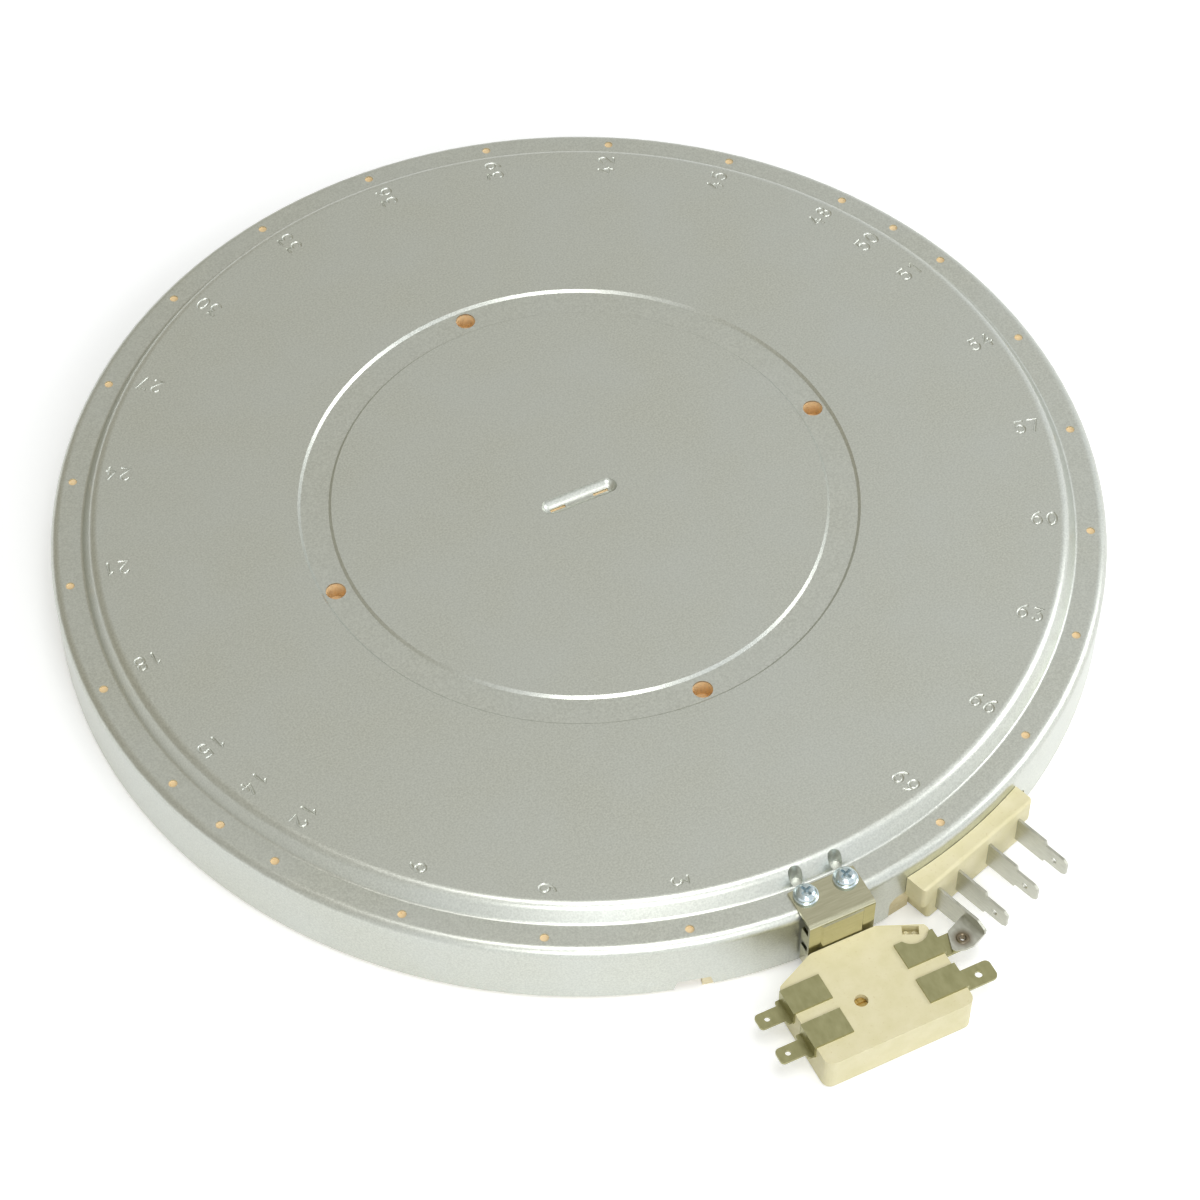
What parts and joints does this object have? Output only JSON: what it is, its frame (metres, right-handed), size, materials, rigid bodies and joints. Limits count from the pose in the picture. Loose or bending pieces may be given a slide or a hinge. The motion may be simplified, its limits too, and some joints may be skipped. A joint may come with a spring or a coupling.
{
  "type": "stove surface element",
  "caption": "Round radiant heater for a glass-ceramic hob, lying base up: pressed steel pan with numbered index holes, terminal block with push-on blades, and a rod limiter on a bracket.",
  "frame": {"origin": "on the pan's axis in the plane of the glass, which is the face of the insulating rim", "axes": "+Z from the glass towards the pan's base, -Y from the axis towards the limiter"},
  "size_m": [0.306, 0.3442, 0.0269],
  "materials": {
    "pan_steel": "aluminised sheet steel, satin with a fine grain",
    "board": "microporous insulation, pressed powder, matte",
    "fibre": "ceramic fibre, matte",
    "heating_alloy": "resistance alloy ribbon, oxidised",
    "steatite": "unglazed steatite, satin",
    "nickel": "nickel-plated steel, satin",
    "limiter_plate": "nickel-plated strip, half bright",
    "bracket_steel": "bright rolled stainless sheet",
    "zinc": "bright zinc plating",
    "quartz": "clear quartz tube",
    "rod_alloy": "heat-resisting steel rod",
    "brass": "brass, satin"
  },
  "bodies": {
    "root": {"pan": "pan_steel", "base_board": "board", "rim_ring": "fibre", "divider_ring": "fibre", "outer_ribbon": "heating_alloy", "inner_ribbon": "heating_alloy", "terminal_block": "steatite", "link_blade": "nickel", "common_blade": "nickel", "inner_zone_blade": "nickel", "outer_zone_blade": "nickel", "link_rivet": "nickel", "limiter_bracket": "bracket_steel", "bracket_screws": "zinc", "limiter_body": "steatite", "limiter_cover": "steatite", "signal_terminal_rear": "limiter_plate", "signal_terminal_front": "limiter_plate", "power_terminal_front": "limiter_plate", "power_terminal_rear": "limiter_plate", "limiter_tube": "quartz", "limiter_rod": "rod_alloy", "rod_nut": "rod_alloy", "signal_contact_spring": "brass", "power_contact_spring": "brass", "switch_lever": "steatite", "return_spring": "rod_alloy", "calibration_screw": "brass"}
  },
  "joints": []
}
